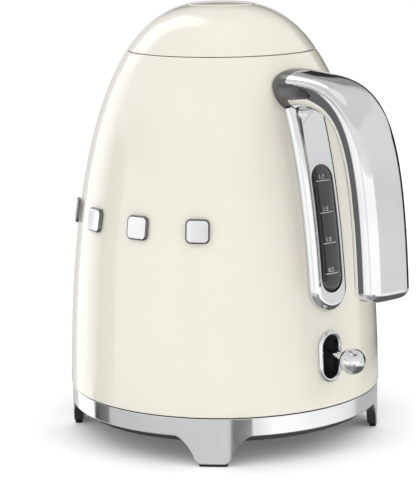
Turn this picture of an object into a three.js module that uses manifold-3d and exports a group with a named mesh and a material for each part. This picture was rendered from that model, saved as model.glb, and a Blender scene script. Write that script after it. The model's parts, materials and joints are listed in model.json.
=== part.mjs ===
// Electric kettle: a domed cordless kettle standing on its round chrome power base.
// Millimetres, +Z up, handle towards +X, spout towards -X. The pieces are drawn about the kettle's
// own axis; the group is then moved by AXIS_X, so that the origin is under the middle of the whole object.

import * as THREE from 'three';
import { mergeVertices } from 'three/addons/utils/BufferGeometryUtils.js';
import Module from 'manifold-3d';

const wasm = await Module();
wasm.setup();

// ---------------------------------------------------------------- driving dimensions

// Where the kettle's own axis stands, once the object's length is centred on the origin.
const AXIS_X = -24.2;

// The dome is a superellipse of revolution.
const DOME = { radius: 90.5, root: -10, top: 248, rise: 2.55, fall: 2.7 };
const WALL = 1.0;
const GAP = 0.3;
const ROUND = 48;
const SMALL_ROUND = 24;

const FLOOR_Z = 77.5;
const PLATE_THICKNESS = 2;
const BODY_BOTTOM = 28;
const BODY_RIM = 220.8;
const LID_EDGE = 221.4;
const BUTTON_RADIUS = 19.4;
const BUTTON_EDGE = 246.5;

const RING = { outer: 89.7, inner: 84.2, bottom: 16.9, top: 27.4 };
const FOOT = { bottom: 1.3, halfWidth: 9.2, slope: 5, fillet: 8, first: 45, step: 90 };
const PAD_THICKNESS = 1.0;
const DECK = { top: 26.9, thickness: 2.5, hole: 16.4 };
const UNDERPLATE = { bottom: 13, top: 15, spool: 31, spoolBottom: 3.5 };
const SCREW_CIRCLE = 60;

const HINGE = { x: 41, z: 221.9, pin: 1.1 };
const NECK_RADIUS = 51.4;
const LINER_RADIUS = 49.3;
const LINER_REAR = 35.5;

const HANDLE = { halfWidth: 15.5, halfDepth: 9.4, roundness: 3.2, lip: 1.6, rootZ: 201.6 };
const ROOT = { halfWidth: 16.5, halfHeight: 11.2, proud: 8 };
const CHANNEL = { from: 0.2, to: 0.975 };
const COVER = { under: -5.6, edge: -6.5, face: -8.9, shoulder: 4.5 };
const GAUGE = {
  halfWidth: 12.75, bottom: 82, top: 190.1, proud: 5.6, windowHalf: 7.6, low: 93.3, high: 162.7,
};
const SLOT = { z: 56.5, halfHeight: 14.4, halfWidth: 8.25, openHeight: 12, openWidth: 5.85 };
const LEVER = { pivotX: 68, pivotZ: 61, ballX: 107.2, ballZ: 57, ball: 7.25 };
const TRIP = { x: 50, z: 61.8 };
const STEAM = { x: 50, y: 30, outer: 4.5, inner: 3.2, top: 190 };
const SPOUT = { low: 158, lip: 206, lipRise: 5, tip: 80.5, halfWidth: 19 };
const BADGE = { z: 130.2, size: 13.4, thickness: 1.8, first: 50, step: 24.3, count: 4 };

// ---------------------------------------------------------------- materials

function finish(color, roughness, metalness) {
  return new THREE.MeshStandardMaterial({ color, roughness, metalness });
}

const CREAM = finish(0xefecdd, 0.18, 0.0);
const CHROME = finish(0xd8d9dc, 0.08, 1.0);
const STEEL = finish(0xb9bbbd, 0.32, 1.0);
const BLACK = finish(0x1b1b1c, 0.45, 0.0);
const GREY = finish(0x4a4b4d, 0.55, 0.0);
const RUBBER = finish(0x2b2b2b, 0.85, 0.0);
const SILICONE = finish(0xc9c7bf, 0.6, 0.0);
const SMOKED = finish(0x3c3d40, 0.1, 0.0);
const BRASS = finish(0xb89a4e, 0.35, 1.0);

// ---------------------------------------------------------------- geometry helpers

// A closed, indexed mesh with merged corners, no zero-area faces, and its faces pointing out.
function closed(geometry) {
  const bare = geometry.clone();
  bare.deleteAttribute('normal');
  bare.deleteAttribute('uv');
  const merged = mergeVertices(bare, 1e-4);
  const position = merged.attributes.position;
  const corners = [0, 1, 2].map(() => new THREE.Vector3());
  const kept = [];
  let volume = 0;
  for (let i = 0; i < merged.index.count; i += 3) {
    const ids = [0, 1, 2].map((k) => merged.index.getX(i + k));
    if (new Set(ids).size < 3) continue;
    ids.forEach((id, k) => corners[k].fromBufferAttribute(position, id));
    volume += corners[0].dot(corners[1].clone().cross(corners[2]));
    kept.push(ids);
  }
  merged.setIndex(kept.flatMap(([a, b, c]) => (volume < 0 ? [a, c, b] : [a, b, c])));
  return merged;
}

function toManifold(geometry) {
  const source = closed(geometry);
  const vertProperties = new Float32Array(source.attributes.position.array);
  const triVerts = new Uint32Array(source.index.array);
  return new wasm.Manifold(new wasm.Mesh({ numProp: 3, vertProperties, triVerts }));
}

function toGeometry(manifold) {
  const mesh = manifold.getMesh();
  const geometry = new THREE.BufferGeometry();
  geometry.setAttribute('position', new THREE.BufferAttribute(mesh.vertProperties, 3));
  geometry.setIndex(new THREE.BufferAttribute(mesh.triVerts, 1));
  return geometry;
}

function join(...geometries) {
  return toGeometry(geometries.map(toManifold).reduce((all, one) => all.add(one)));
}

function cut(base, ...tools) {
  return toGeometry(tools.map(toManifold).reduce((left, tool) => left.subtract(tool), toManifold(base)));
}

function common(...geometries) {
  return toGeometry(geometries.map(toManifold).reduce((all, one) => all.intersect(one)));
}

// Turns a profile of [radius, z] pairs about the Z axis. A profile off the axis closes on itself.
function turned(profile, segments = ROUND) {
  const points = profile.map(([r, z]) => new THREE.Vector2(r, z));
  const onAxis = profile[0][0] === 0 && profile[profile.length - 1][0] === 0;
  if (!onAxis) points.push(points[0].clone());
  const geometry = new THREE.LatheGeometry(points, segments);
  geometry.rotateX(Math.PI / 2);
  return closed(geometry);
}

function disc(radius, low, high, segments = SMALL_ROUND) {
  return turned([[0, low], [radius, low], [radius, high], [0, high]], segments);
}

function ring(inner, outer, low, high, segments = ROUND) {
  return turned([[inner, low], [outer, low], [outer, high], [inner, high]], segments);
}

function block(x0, x1, y0, y1, z0, z1) {
  const geometry = new THREE.BoxGeometry(x1 - x0, y1 - y0, z1 - z0);
  geometry.translate((x0 + x1) / 2, (y0 + y1) / 2, (z0 + z1) / 2);
  return geometry;
}

// A round bar between two points, with its own radius at each end.
function bar(from, to, radiusFrom, radiusTo = radiusFrom, segments = 16) {
  const start = new THREE.Vector3(...from);
  const along = new THREE.Vector3(...to).sub(start);
  const geometry = new THREE.CylinderGeometry(radiusTo, radiusFrom, along.length(), segments);
  geometry.translate(0, along.length() / 2, 0);
  const turn = new THREE.Quaternion().setFromUnitVectors(new THREE.Vector3(0, 1, 0), along.normalize());
  geometry.applyQuaternion(turn);
  geometry.translate(start.x, start.y, start.z);
  return geometry;
}

// A round pin along Y, centred on the kettle's middle plane. It also serves to cut the hole for one.
function crossPin(x, z, halfLength, radius) {
  return bar([x, -halfLength, z], [x, halfLength, z], radius, radius, 12);
}

// An outline of (y, z) points pushed along X, from x0 to x1.
function alongX(outline, x0, x1) {
  const depth = x1 - x0;
  const geometry = new THREE.ExtrudeGeometry(new THREE.Shape(outline), { depth, bevelEnabled: false });
  geometry.applyMatrix4(new THREE.Matrix4().makeBasis(
    new THREE.Vector3(0, 1, 0), new THREE.Vector3(0, 0, 1), new THREE.Vector3(1, 0, 0)));
  geometry.translate(x0, 0, 0);
  return geometry;
}

// An upright outline with rounded corners. Where the corner is the half width, it is a long hole.
function roundedOutline(halfWidth, low, high, corner, steps = 4, flatTop = false) {
  const lower = [[-1, low + corner, 2], [1, low + corner, 3]];
  const upper = [[1, high - corner, 0], [-1, high - corner, 1]];
  const points = [];
  (flatTop ? lower : [...lower, ...upper]).forEach(([side, z, quarter]) => {
    for (let i = 0; i <= steps; i += 1) {
      const angle = (Math.PI / 2) * (quarter + i / steps);
      const across = side * (halfWidth - corner) + corner * Math.cos(angle);
      points.push(new THREE.Vector2(across, z + corner * Math.sin(angle)));
    }
  });
  if (flatTop) points.push(new THREE.Vector2(halfWidth, high), new THREE.Vector2(-halfWidth, high));
  return points.filter((p, i) => i === 0 || p.distanceTo(points[i - 1]) > 1e-6);
}

function slotOutline(halfWidth, low, high, steps = 4, flatTop = false) {
  return roundedOutline(halfWidth, low, high, halfWidth, steps, flatTop);
}

function ellipseOutline(halfWidth, halfHeight, z, steps = 24) {
  return Array.from({ length: steps }, (_, i) => {
    const angle = (2 * Math.PI * i) / steps;
    return new THREE.Vector2(halfWidth * Math.cos(angle), z + halfHeight * Math.sin(angle));
  });
}

// A solid skinned over rings of points, with a flat-patterned cap at each end.
function skinned(rings, capOutline) {
  const count = rings[0].length;
  const positions = rings.flat().flatMap((p) => [p.x, p.y, p.z]);
  const index = [];
  for (let r = 0; r + 1 < rings.length; r += 1) {
    for (let i = 0; i < count; i += 1) {
      const a = r * count + i;
      const b = r * count + ((i + 1) % count);
      index.push(a, b, b + count, a, b + count, a + count);
    }
  }
  const last = (rings.length - 1) * count;
  THREE.ShapeUtils.triangulateShape(capOutline, []).forEach(([a, b, c]) => {
    index.push(a, c, b, last + a, last + b, last + c);
  });
  const geometry = new THREE.BufferGeometry();
  geometry.setAttribute('position', new THREE.Float32BufferAttribute(positions, 3));
  geometry.setIndex(index);
  return closed(geometry);
}

// A round wire along a curve.
function wire(curve, radius, steps, sides = 6) {
  const section = new THREE.Shape(ellipseOutline(radius, radius, 0, sides));
  return new THREE.ExtrudeGeometry(section, { steps, extrudePath: curve, bevelEnabled: false });
}

class Helix extends THREE.Curve {
  constructor(radius, low, high, turns) {
    super();
    Object.assign(this, { radius, low, high, turns });
  }

  getPoint(t, target = new THREE.Vector3()) {
    const angle = 2 * Math.PI * this.turns * t;
    const z = this.low + (this.high - this.low) * t;
    return target.set(this.radius * Math.cos(angle), this.radius * Math.sin(angle), z);
  }
}

class Arc extends THREE.Curve {
  constructor(radius, z, from, to) {
    super();
    Object.assign(this, { radius, z, from, to });
  }

  getPoint(t, target = new THREE.Vector3()) {
    const angle = this.from + (this.to - this.from) * t;
    return target.set(this.radius * Math.cos(angle), this.radius * Math.sin(angle), this.z);
  }
}

// ---------------------------------------------------------------- the dome

function domeRadius(z) {
  const height = (z - DOME.root) / (DOME.top - DOME.root);
  return DOME.radius * (1 - height ** DOME.rise) ** (1 / DOME.fall);
}

const BODY_LEVELS = [BODY_BOTTOM, 68, 102, 132, 157, 178, 195, 208, BODY_RIM];
const LID_LEVELS = [LID_EDGE, 228, 234.5, 240, 244, 246.3];

function domeProfile(levels, offset) {
  return levels.map((z) => [domeRadius(z) + offset, z]);
}

// The whole dome as a solid, its skin moved out by an offset.
function domeSolid(offset) {
  const skin = domeProfile(BODY_LEVELS, offset);
  const low = [[0, 0], [DOME.radius + offset, 0]];
  return turned([...low, ...skin, [0, BODY_RIM]]);
}

// What lies between two skins parallel to the dome, inside an outline seen along X.
function onDome(outline, low, high, side = 1) {
  const prism = side > 0 ? alongX(outline, 20, 120) : alongX(outline, -120, -20);
  return cut(common(prism, domeSolid(high)), domeSolid(low));
}

// ---------------------------------------------------------------- power base

function footEdge(fraction) {
  const halfWidth = FOOT.halfWidth + FOOT.slope * fraction + FOOT.fillet * (1 - Math.sqrt(1 - fraction ** 2));
  return { angle: halfWidth / RING.outer, z: FOOT.bottom + (RING.bottom - FOOT.bottom) * fraction };
}

function baseRing() {
  const fractions = [0, 0.25, 0.5, 0.7, 0.84, 0.93, 0.98, 1];
  const half = fractions.map(footEdge);
  const plain = [26, 37].map((degrees) => ({ angle: THREE.MathUtils.degToRad(degrees), z: RING.bottom }));
  const side = [...half, ...plain];
  const mirrored = side.map(({ angle, z }) => ({ angle: -angle, z })).reverse();
  const stations = [];
  for (let foot = 0; foot < 4; foot += 1) {
    const middle = THREE.MathUtils.degToRad(FOOT.first + foot * FOOT.step);
    const between = { angle: middle - Math.PI / 4, z: RING.bottom };
    const own = [...mirrored, { angle: 0, z: FOOT.bottom }, ...side];
    stations.push(between, ...own.map(({ angle, z }) => ({ angle: middle + angle, z })));
  }
  const sections = stations.map(({ angle, z }) => [
    [RING.outer, RING.top], [RING.outer, z], [RING.inner, z], [RING.inner, RING.top],
  ].map(([r, height]) => new THREE.Vector3(r * Math.cos(angle), r * Math.sin(angle), height)));
  const positions = sections.flat().flatMap((p) => [p.x, p.y, p.z]);
  const index = [];
  for (let s = 0; s < sections.length; s += 1) {
    const next = (s + 1) % sections.length;
    for (let i = 0; i < 4; i += 1) {
      const j = (i + 1) % 4;
      index.push(s * 4 + i, next * 4 + i, next * 4 + j, s * 4 + i, next * 4 + j, s * 4 + j);
    }
  }
  const geometry = new THREE.BufferGeometry();
  geometry.setAttribute('position', new THREE.Float32BufferAttribute(positions, 3));
  geometry.setIndex(index);
  return closed(geometry);
}

function baseDeck() {
  const outer = RING.inner - GAP - 0.1;
  const under = DECK.top - DECK.thickness;
  return turned([
    [DECK.hole, DECK.top], [outer, DECK.top], [outer, UNDERPLATE.top + GAP],
    [outer - 2, UNDERPLATE.top + GAP], [outer - 2, under], [DECK.hole, under],
  ], 40);
}

function baseUnderplate() {
  const { bottom, top, spool, spoolBottom } = UNDERPLATE;
  const outer = RING.inner - GAP - 0.1;
  const plate = turned([
    [0, bottom], [spool - 2, bottom], [spool - 2, spoolBottom], [spool + 13, spoolBottom],
    [spool + 13, spoolBottom + 1.6], [spool, spoolBottom + 1.6], [spool, bottom], [outer, bottom],
    [outer, top], [0, top],
  ], 40);
  return cut(plate, ...screwPlaces().map(([x, y]) => bar([x, y, bottom - 1], [x, y, top + 1], 1.8, 1.8, 8)));
}

function screwPlaces() {
  return [30, 150, 270].map((degrees) => {
    const angle = THREE.MathUtils.degToRad(degrees);
    return [SCREW_CIRCLE * Math.cos(angle), SCREW_CIRCLE * Math.sin(angle)];
  });
}

// A pan-head screw on the Z axis, its head below and its shank pointing up.
function panScrew(headLow, headHigh, tip) {
  return turned([[0, headLow], [2.9, headLow], [3.4, headLow + 0.5], [3.4, headHigh], [1.4, headHigh],
    [1.4, tip - 1], [0, tip]], 8);
}

function baseConnector() {
  return turned([
    [0, 19], [26, 19], [26, 24], [16, 24], [16, 28], [13, 28], [13, 37], [12, 38], [9.2, 38], [9.2, 30],
    [4, 30], [4, 40], [3, 41], [0, 41],
  ], 24);
}

function footPad() {
  const geometry = alongX(slotOutline(2, -8, 8, 3), 0, PAD_THICKNESS);
  geometry.applyMatrix4(new THREE.Matrix4().makeBasis(
    new THREE.Vector3(0, 0, 1), new THREE.Vector3(1, 0, 0), new THREE.Vector3(0, 1, 0)));
  geometry.translate((RING.outer + RING.inner) / 2, 0, 0);
  return geometry;
}

// The outlet hangs under the plate on the +Y side, its bore along Y.
function cordGland() {
  const top = UNDERPLATE.bottom - GAP;
  const body = block(-7.5, 7.5, 58, 76, top - 10.5, top);
  return cut(body, bar([0, 50, top - 5.2], [0, 80, top - 5.2], 3.6, 3.6, 16));
}

// ---------------------------------------------------------------- body

// Horizontal section of the spout beak at a height: a rounded V standing on the dome.
function beakSection(z, inset, lift) {
  const rise = Math.min(1, Math.max(0, (z - SPOUT.low) / (SPOUT.lip - SPOUT.low)));
  const skin = domeRadius(Math.min(z, BODY_RIM));
  const tip = Math.max(skin, THREE.MathUtils.lerp(domeRadius(SPOUT.low), SPOUT.tip, rise ** 0.7)) - inset;
  const spread = (SPOUT.halfWidth * rise ** 0.6 + 1 - inset) / skin;
  const steps = 6;
  const points = [];
  for (let i = -steps; i <= steps; i += 1) {
    const s = i / steps;
    const radius = skin + (tip - skin) * (1 - Math.abs(s) ** 1.3);
    const angle = Math.PI + s * spread;
    const drop = lift * (1 - Math.abs(s));
    points.push(new THREE.Vector3(radius * Math.cos(angle), radius * Math.sin(angle), z + lift - drop));
  }
  const inner = inset > 0 ? skin - 0.1 : skin - WALL / 2;
  for (let i = steps; i >= -steps; i -= 2) {
    const angle = Math.PI + (i / steps) * spread;
    points.push(new THREE.Vector3(inner * Math.cos(angle), inner * Math.sin(angle), z + lift));
  }
  return points;
}

function beakSolid(levels, inset, lifts) {
  const rings = levels.map((z, i) => beakSection(z, inset, lifts[i]));
  const cap = rings[rings.length - 1].map((p) => new THREE.Vector2(p.x, p.y));
  return skinned(rings, cap);
}

function bodyShell() {
  const bevel = 0.5;
  const outside = domeProfile(BODY_LEVELS.slice(0, -1), 0);
  const inside = domeProfile(BODY_LEVELS, -WALL).reverse();
  const rimRadius = domeRadius(BODY_RIM);
  const shell = turned([
    ...outside, [domeRadius(BODY_RIM - bevel), BODY_RIM - bevel], [rimRadius - bevel * 0.4, BODY_RIM],
    [rimRadius - WALL + bevel * 0.6, BODY_RIM], [domeRadius(BODY_RIM - bevel) - WALL, BODY_RIM - bevel],
    ...inside.slice(1),
  ]);
  const pour = alongX(slotOutline(10, 180, 203, 3), -76, -40);
  const gauge = alongX(slotOutline(5.5, 97, 159, 3), 60, 110);
  const lever = alongX(slotOutline(SLOT.halfWidth - 0.8, SLOT.z - 13.6, SLOT.z + 13.6, 3), 60, 110);
  return cut(shell, pour, gauge, lever, ...handleScrewHoles());
}

// The pressed beak that is welded over the body's pouring opening. It is open at the top and at its back.
function spout() {
  const wall = 1.3;
  const beak = beakSolid([SPOUT.low, 166, 176, 188, 198, SPOUT.lip], 0, [0, 0, 0, 0, 0, SPOUT.lipRise]);
  const channel = beakSolid([170, 180, 190, 199, SPOUT.lip + 8], wall, [0, 0, 0, 0, SPOUT.lipRise]);
  return cut(beak, channel, domeSolid(0));
}

function bottomCover() {
  const outer = domeRadius(BODY_BOTTOM) - WALL - GAP - 0.2;
  const cover = turned([
    [19.2, BODY_BOTTOM + 0.4], [68, BODY_BOTTOM + 0.4], [68, DECK.top + GAP], [76, DECK.top + GAP],
    [76, BODY_BOTTOM + 0.4], [outer, BODY_BOTTOM + 0.4], [outer, 34], [outer - 1.8, 34],
    [outer - 1.8, 31], [19.2, 31],
  ], 40);
  const holes = screwPlaces().flatMap(([x, y]) => [
    bar([x, y, 27], [x, y, 29.9], 3.9, 3.9, 8), bar([x, y, 27], [x, y, 35], 1.8, 1.8, 8),
  ]);
  return cut(cover, ...holes);
}

function kettleConnector() {
  return turned([
    [0, 46], [18.6, 46], [18.6, 29], [13.6, 29], [13.6, 38.9], [8.4, 38.9], [8.4, 31], [4.8, 31],
    [4.8, 42], [0, 42],
  ], 24);
}

function heaterPlate() {
  const rim = domeRadius(FLOOR_Z) - WALL - 2.4;
  const plate = disc(rim, FLOOR_Z, FLOOR_Z + PLATE_THICKNESS, 48);
  const hole = bar([STEAM.x, STEAM.y, 70], [STEAM.x, STEAM.y, 90], STEAM.outer + GAP);
  return cut(plate, hole);
}

function heaterSeal() {
  const inner = domeRadius(FLOOR_Z) - WALL - 2.1;
  const outer = domeRadius(FLOOR_Z + 6) - WALL - 0.4;
  return ring(inner, outer, FLOOR_Z - 4, FLOOR_Z + 6, 40);
}

function heatingElement() {
  const radius = 3.5;
  const z = FLOOR_Z - radius - 0.4;
  const sweep = new Arc(42, z, THREE.MathUtils.degToRad(24), THREE.MathUtils.degToRad(336));
  return wire(sweep, radius, 26, 6);
}

function controlUnit() {
  const body = disc(27, 46.6, 60, 32);
  const arm = block(20, 46, -7, 7, 52, 57.5);
  const cheeks = [-5.4, 3.8].map((y) => block(44, 54, y, y + 1.6, 54, 64.5));
  const bridge = block(44, 47, -5.4, 5.4, 54, 57);
  const hole = crossPin(TRIP.x, TRIP.z, 8, 1.3);
  return cut(join(body, arm, bridge, ...cheeks), hole);
}

function steamTube() {
  const tube = ring(STEAM.inner, STEAM.outer, 62, STEAM.top, 20);
  tube.translate(STEAM.x, STEAM.y, 0);
  return tube;
}

function steamSwitch() {
  return block(STEAM.x - 9, STEAM.x + 9, STEAM.y - 8, STEAM.y + 9, 42, 58);
}

// ---------------------------------------------------------------- lever

function leverBezel() {
  const { z, halfHeight, halfWidth, openHeight, openWidth } = SLOT;
  const flange = onDome(slotOutline(halfWidth, z - halfHeight, z + halfHeight), GAP, 2.2);
  const neck = onDome(slotOutline(halfWidth - 1.2, z - halfHeight + 1.2, z + halfHeight - 1.2), -2.4, 1);
  const opening = alongX(slotOutline(openWidth, z - openHeight, z + openHeight), 60, 110);
  return cut(join(flange, neck), opening);
}

function leverHousing() {
  const shell = cut(
    block(74, 86, -8.6, 8.6, SLOT.z - 15, SLOT.z + 15),
    block(75.6, 90, -7, 7, SLOT.z - 13.4, SLOT.z + 13.4),
    block(70, 80, -2.9, 2.9, 54.5, 65.5),
  );
  const cheeks = [-5.2, 3.6].map((y) => block(63.5, 74.5, y, y + 1.6, 57, 65));
  const hole = crossPin(LEVER.pivotX, LEVER.pivotZ, 8, 1.6);
  return cut(join(shell, ...cheeks), hole);
}

function leverArm() {
  const { pivotX, pivotZ, ballX, ballZ } = LEVER;
  const stem = bar([pivotX, 0, pivotZ], [ballX, 0, ballZ], 2.4, 1.6);
  const hub = bar([pivotX, -3, pivotZ], [pivotX, 3, pivotZ], 4, 4, 20);
  const tail = block(pivotX - 9, pivotX, -1.5, 1.5, pivotZ - 1, pivotZ + 1.6);
  const hole = crossPin(pivotX, pivotZ, 8, 1.6);
  return cut(join(stem, hub, tail), hole);
}

function leverBall() {
  const { pivotX, pivotZ, ballX, ballZ, ball } = LEVER;
  const sphere = new THREE.SphereGeometry(ball, 16, 10);
  sphere.rotateX(Math.PI / 2);
  sphere.translate(ballX, 0, ballZ);
  const along = new THREE.Vector3(ballX - pivotX, 0, ballZ - pivotZ).normalize();
  const end = [ballX + along.x * 0.5, 0, ballZ + along.z * 0.5];
  return cut(closed(sphere), bar([pivotX, 0, pivotZ], end, 2.8, 1.95));
}

function tripRocker() {
  const hub = bar([TRIP.x, -3.3, TRIP.z], [TRIP.x, 3.3, TRIP.z], 2.6, 2.6, 16);
  const beam = block(TRIP.x - 2.9, TRIP.x + 8.3, -1.5, 1.5, TRIP.z - 1.2, TRIP.z + 1.2);
  const hole = crossPin(TRIP.x, TRIP.z, 8, 1.3);
  return cut(join(hub, beam), hole);
}

// ---------------------------------------------------------------- handle

const HANDLE_LINE = new THREE.CubicBezierCurve(
  new THREE.Vector2(58, 202.6), new THREE.Vector2(109.7, 205.3),
  new THREE.Vector2(124.8, 202.6), new THREE.Vector2(129.8, 94));

// Sweeps an outline of (across, outward) points along the handle's middle line.
function alongHandle(outline, from, to, steps, endScale = 1) {
  const stations = Array.from({ length: steps + 1 }, (_, i) => from + ((to - from) * i) / steps);
  const rings = stations.map((t, i) => {
    const scale = i === steps ? endScale : 1;
    const p = HANDLE_LINE.getPoint(t);
    const tangent = HANDLE_LINE.getTangent(t);
    return outline.map(({ x: across, y: out }) => new THREE.Vector3(
      p.x - tangent.y * out * scale, across * scale, p.y + tangent.x * out * scale));
  });
  return skinned(rings, outline);
}

function handleOutline(inset = 0, steps = 20) {
  const power = 2 / HANDLE.roundness;
  const bend = (value) => Math.sign(value) * Math.abs(value) ** power;
  return Array.from({ length: steps }, (_, i) => {
    const angle = (2 * Math.PI * (i + 0.5)) / steps;
    const across = (HANDLE.halfWidth - inset) * bend(Math.cos(angle));
    return new THREE.Vector2(across, (HANDLE.halfDepth - inset) * bend(Math.sin(angle)));
  });
}

function rectOutline(halfWidth, low, high) {
  return [[-halfWidth, low], [halfWidth, low], [halfWidth, high], [-halfWidth, high]]
    .map(([x, y]) => new THREE.Vector2(x, y));
}

// The hollow of the handle, open on the finger side.
function channelOutline() {
  const half = HANDLE.halfWidth - HANDLE.lip;
  const opening = [new THREE.Vector2(-half, -14), new THREE.Vector2(half, -14)];
  return [...handleOutline(HANDLE.lip).filter((p) => p.y > 0), ...opening];
}

function handleShell() {
  const grip = alongHandle(handleOutline(), 0, 0.975, 12);
  const tip = alongHandle(handleOutline(), 0.97, 1, 1, 0.82);
  const oval = ellipseOutline(ROOT.halfWidth, ROOT.halfHeight, HANDLE.rootZ);
  const root = common(alongX(oval, 50, 85), domeSolid(ROOT.proud));
  const channel = alongHandle(channelOutline(), CHANNEL.from, CHANNEL.to, 9);
  return cut(join(grip, tip, root), domeSolid(GAP), channel, ...handleScrewHoles());
}

// The strip that closes the channel on the finger side, its long edges chamfered to meet the shell.
function handleCover() {
  const half = HANDLE.halfWidth - HANDLE.lip - GAP;
  const flat = half - COVER.shoulder;
  const outline = [
    [-half, COVER.edge], [-flat, COVER.face], [flat, COVER.face], [half, COVER.edge],
    [half, COVER.under], [-half, COVER.under],
  ].map(([x, y]) => new THREE.Vector2(x, y));
  return alongHandle(outline, CHANNEL.from + 0.006, CHANNEL.to - 0.004, 9);
}

function handleBracket() {
  return alongHandle(rectOutline(7, -1.5, 1.5), CHANNEL.from + 0.01, 0.6, 8);
}

function handleScrewHoles() {
  return [-6.5, 6.5].map((y) => bar([40, y, HANDLE.rootZ], [73.5, y, HANDLE.rootZ], 2.3, 2.3, 12));
}

function handleScrew(y) {
  const shank = bar([60.5, y, HANDLE.rootZ], [73, y, HANDLE.rootZ], 2, 2, 12);
  const head = bar([58, y, HANDLE.rootZ], [60.8, y, HANDLE.rootZ], 3.8, 3.8, 12);
  return join(shank, head);
}

// ---------------------------------------------------------------- gauge and badges

function gaugeBezel() {
  const { halfWidth, bottom, top, proud, windowHalf, low, high } = GAUGE;
  const flange = onDome(slotOutline(halfWidth, bottom, top, 4, true), GAP, 2.4);
  const raised = onDome(slotOutline(halfWidth - 2.4, bottom + 2.4, top, 4, true), 1, proud);
  const opening = alongX(slotOutline(windowHalf + GAP, low - GAP, high + GAP), 50, 120);
  return cut(join(flange, raised), opening);
}

function gaugeWindow() {
  return onDome(slotOutline(GAUGE.windowHalf, GAUGE.low, GAUGE.high), 1.4, GAUGE.proud - 0.6);
}

function gaugeGasket() {
  const band = onDome(slotOutline(GAUGE.windowHalf - 0.1, GAUGE.low + 0.1, GAUGE.high - 0.1), GAP, 1.1);
  return cut(band, alongX(slotOutline(5.3, 96.6, 159.4, 3), 50, 120));
}

function badge(index) {
  const half = BADGE.size / 2;
  const outline = roundedOutline(half, -half, half, 3, 3);
  const plate = alongX(outline, 0, BADGE.thickness);
  const slope = (domeRadius(BADGE.z + 1) - domeRadius(BADGE.z - 1)) / 2;
  plate.rotateY(Math.atan(slope));
  plate.translate(domeRadius(BADGE.z) + GAP + 0.15, 0, BADGE.z);
  plate.rotateZ(-THREE.MathUtils.degToRad(BADGE.first + BADGE.step * index));
  return plate;
}

// ---------------------------------------------------------------- neck and lid

function neckCollar() {
  const skin = (z) => domeRadius(z) - WALL - 0.35;
  const collar = turned([
    [NECK_RADIUS, 219.8], [skin(219.8), 219.8], [skin(214), 214], [skin(206.5), 206.5],
    [NECK_RADIUS, 206.5],
  ], 48);
  const pocket = block(36, 70, -36, 36, 208.8, 230);
  const floor = common(disc(NECK_RADIUS + 2, 206.5, 208.8, 48), block(35, 70, -14, 14, 200, 215));
  const ears = [-1, 1].flatMap((side) => {
    const y0 = side > 0 ? 6.3 : -10.3;
    return [
      block(36.8, HINGE.x, y0, y0 + 4, 207, HINGE.z),
      bar([HINGE.x, y0, HINGE.z], [HINGE.x, y0 + 4, HINGE.z], 2.4, 2.4, 16),
    ];
  });
  const hole = crossPin(HINGE.x, HINGE.z, 20, HINGE.pin + GAP);
  return cut(join(cut(collar, pocket), floor, ...ears), hole);
}

function filterFrame() {
  const frame = onDome(roundedOutline(16, 178, 205.5, 5, 3), -6.2, -2.6, -1);
  return cut(frame, alongX(roundedOutline(13.4, 180.6, 202.9, 3, 3), -100, -30));
}

function filterMesh() {
  const sheet = onDome(roundedOutline(13.1, 180.9, 202.6, 2.8, 3), -4.6, -3.8, -1);
  const holes = [];
  for (let row = 0; row < 3; row += 1) {
    for (let column = -2; column <= 2; column += 1) {
      const y = column * 4;
      const z = 186.6 + row * 5;
      holes.push(block(-100, -30, y - 1.4, y + 1.4, z - 1.8, z + 1.8));
    }
  }
  return cut(sheet, ...holes);
}

function lidShell() {
  const bevel = 0.45;
  const outside = domeProfile(LID_LEVELS, 0).slice(1);
  const inside = domeProfile(LID_LEVELS, -WALL).reverse();
  const opening = BUTTON_RADIUS + GAP;
  const top = LID_LEVELS[LID_LEVELS.length - 1];
  const under = inside.filter(([r]) => r > opening + 0.5);
  return turned([
    [domeRadius(LID_EDGE) - bevel, LID_EDGE], [domeRadius(LID_EDGE + bevel), LID_EDGE + bevel],
    ...outside.slice(0, -1), [opening, top], [opening, top - 2.6], ...under,
  ]);
}

function lidLiner() {
  const wall = 1.5;
  const guide = 18.2;
  const cup = turned([
    [0, 212], [LINER_RADIUS, 212], [LINER_RADIUS, 222.6], [LINER_RADIUS - wall, 222.6],
    [LINER_RADIUS - wall, 212 + wall], [5.2, 212 + wall], [5.2, 217], [4, 217], [4, 212 + wall],
    [0, 212 + wall],
  ], 48);
  const sleeve = ring(guide, guide + 1.4, 218.6, 241, 32);
  const spokes = [[-31, -guide - 0.7], [guide + 0.7, 31]].map(([y0, y1]) => block(-4, 4, y0, y1, 213, 220.6));
  const springPost = block(-31.5, -30, -2.4, 2.4, 213, 217.5);
  const screwHoles = [-26, 26].map((y) => bar([0, y, 205], [0, y, 222], 1.8, 1.8, 8));
  const rear = block(LINER_REAR, 60, -60, 60, 200, 235);
  const backSlice = block(LINER_REAR - wall, LINER_REAR, -60, 60, 200, 230);
  const backWall = common(disc(LINER_RADIUS, 212, 222.6, 48), backSlice);
  const knuckleArm = block(LINER_REAR - 1, HINGE.x, -5.4, 5.4, HINGE.z - 2.2, HINGE.z + 2.2);
  const knuckle = bar([HINGE.x, -5.4, HINGE.z], [HINGE.x, 5.4, HINGE.z], 2.2, 2.2, 16);
  const hole = crossPin(HINGE.x, HINGE.z, 20, HINGE.pin + GAP);
  const latchWindow = block(-60, -44, -5.6, 5.6, 213.6, 218.4);
  const solid = join(cut(cup, rear), sleeve, ...spokes, springPost, backWall, knuckleArm, knuckle);
  return cut(solid, hole, latchWindow, ...screwHoles);
}

function lidSeal() {
  const seal = ring(LINER_RADIUS + GAP, LINER_RADIUS + 1.7, 219.2, 221, 48);
  return cut(seal, block(LINER_REAR - 3, 60, -60, 60, 200, 235));
}

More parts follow.
